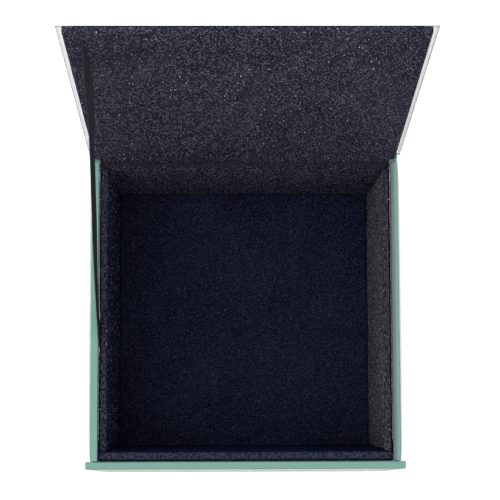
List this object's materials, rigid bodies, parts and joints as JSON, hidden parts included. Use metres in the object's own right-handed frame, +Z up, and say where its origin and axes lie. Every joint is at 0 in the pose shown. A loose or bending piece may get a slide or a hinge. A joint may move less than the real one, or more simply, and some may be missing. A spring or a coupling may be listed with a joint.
{
  "type": "trinket box",
  "caption": "Trinket box of bevelled clear glass lined with black glitter velvet, its padded glass lid standing open on a cloth hinge and held by a ribbon stay.",
  "frame": {"origin": "middle of the felt underside that the box stands on", "axes": "+Z up; the front is at -Y, the hinge at the back at +Y, and the ribbon stay is at -X"},
  "size_m": [0.1032, 0.1237, 0.1709],
  "materials": {
    "clear_glass": "polished, bevelled, green at the cut edges",
    "clear_adhesive": "clear",
    "glitter_velvet": "black velvet with fine silver glitter",
    "greyboard": "matte",
    "black_paper": "matte",
    "foam": "matte",
    "black_felt": "matte",
    "black_ribbon": "satin"
  },
  "bodies": {
    "box": {"front_pane": "clear_glass", "back_pane": "clear_glass", "left_pane": "clear_glass", "right_pane": "clear_glass", "corner_bonds": "clear_adhesive", "base_pane": "clear_glass", "base_felt": "black_felt", "front_wall_board": "greyboard", "front_wall_velvet": "glitter_velvet", "back_wall_board": "greyboard", "back_wall_velvet": "glitter_velvet", "left_wall_board": "greyboard", "left_wall_velvet": "glitter_velvet", "right_wall_board": "greyboard", "right_wall_velvet": "glitter_velvet", "floor_board": "greyboard", "floor_foam": "foam", "floor_velvet": "glitter_velvet", "hinge_cloth": "glitter_velvet", "ribbon_stay": "black_ribbon"},
    "lid": {"lid_pane": "clear_glass", "lid_backing_paper": "black_paper", "lid_board": "greyboard", "lid_velvet": "glitter_velvet"}
  },
  "joints": [
    {"name": "lid_hinge", "type": "hinge", "parent": "box", "child": "lid", "pos_m": [0, 0.0488, 0.072], "axis": [1, 0, 0], "range_deg": [0, 100.5], "deforming": ["hinge_cloth", "ribbon_stay"]}
  ]
}
